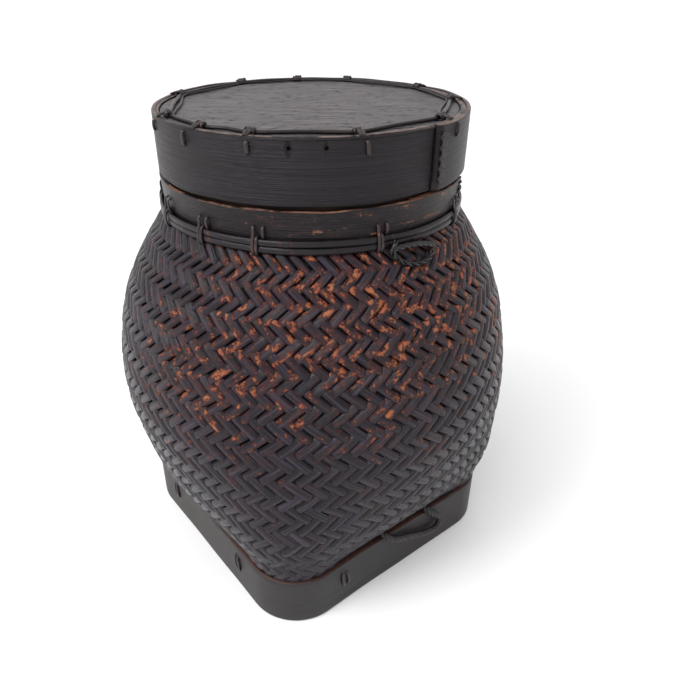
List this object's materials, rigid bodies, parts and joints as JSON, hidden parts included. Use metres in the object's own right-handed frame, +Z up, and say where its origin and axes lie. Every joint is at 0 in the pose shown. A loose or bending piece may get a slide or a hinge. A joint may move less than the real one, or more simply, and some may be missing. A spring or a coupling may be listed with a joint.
{
  "type": "lidded woven storage basket",
  "caption": "Round twined rattan basket on a square bentwood foot, with a bentwood neck collar, cane hoops, carrying loops and a lift-off bentwood lid.",
  "frame": {"origin": "centre of the square foot's underside, on the floor", "axes": "+Z up along the basket's axis; the square foot's sides run along X and Y; the carrying loops are on the +X and -X sides"},
  "size_m": [0.3014, 0.3014, 0.3563],
  "materials": {
    "woven_rattan": "dark lacquered twined rattan, worn to orange-brown",
    "band_lacquer": "dark lacquered bentwood with worn edges",
    "foot_lacquer": "dark lacquered bentwood, red-brown at its top edge",
    "hoop_cane": "dark lacquered half-round cane",
    "twisted_cord": "black twisted cane cord",
    "rattan_tie": "dark rattan skin",
    "disc_wood": "greyed wood, fine grain",
    "inner_wood": "plain brown wood"
  },
  "bodies": {
    "basket": {"base_frame": "foot_lacquer", "base_ledge": "inner_wood", "base_stitches": "rattan_tie", "base_seam_lacing": "rattan_tie", "woven_bottom": "woven_rattan", "woven_body": "woven_rattan", "shoulder_lug_right": "twisted_cord", "shoulder_lug_left": "twisted_cord", "collar": "band_lacquer", "collar_seam_lacing": "rattan_tie", "neck_ring": "inner_wood", "lower_hoop": "hoop_cane", "upper_hoop": "hoop_cane", "hoop_lashings": "rattan_tie"},
    "lid": {"lid_band": "band_lacquer", "lid_disc": "disc_wood", "lid_support_ring": "inner_wood", "lid_cane": "hoop_cane", "lid_knots": "rattan_tie", "lid_stitches": "rattan_tie", "lid_seam_lacing": "rattan_tie"},
    "base_loop_right_body": {"base_loop_right": "twisted_cord"},
    "base_loop_left_body": {"base_loop_left": "twisted_cord"}
  },
  "joints": [
    {"name": "lid_lift", "type": "slide", "parent": "basket", "child": "lid", "axis": [0, 0, 1], "range_m": [0, 0.06]},
    {"name": "base_loop_right_swing", "type": "hinge", "parent": "basket", "child": "base_loop_right_body", "pos_m": [0.117, 0, 0.0474], "axis": [0, -1, 0], "range_deg": [0, 60]},
    {"name": "base_loop_left_swing", "type": "hinge", "parent": "basket", "child": "base_loop_left_body", "pos_m": [-0.117, 0, 0.0474], "axis": [0, 1, 0], "range_deg": [0, 60]}
  ]
}
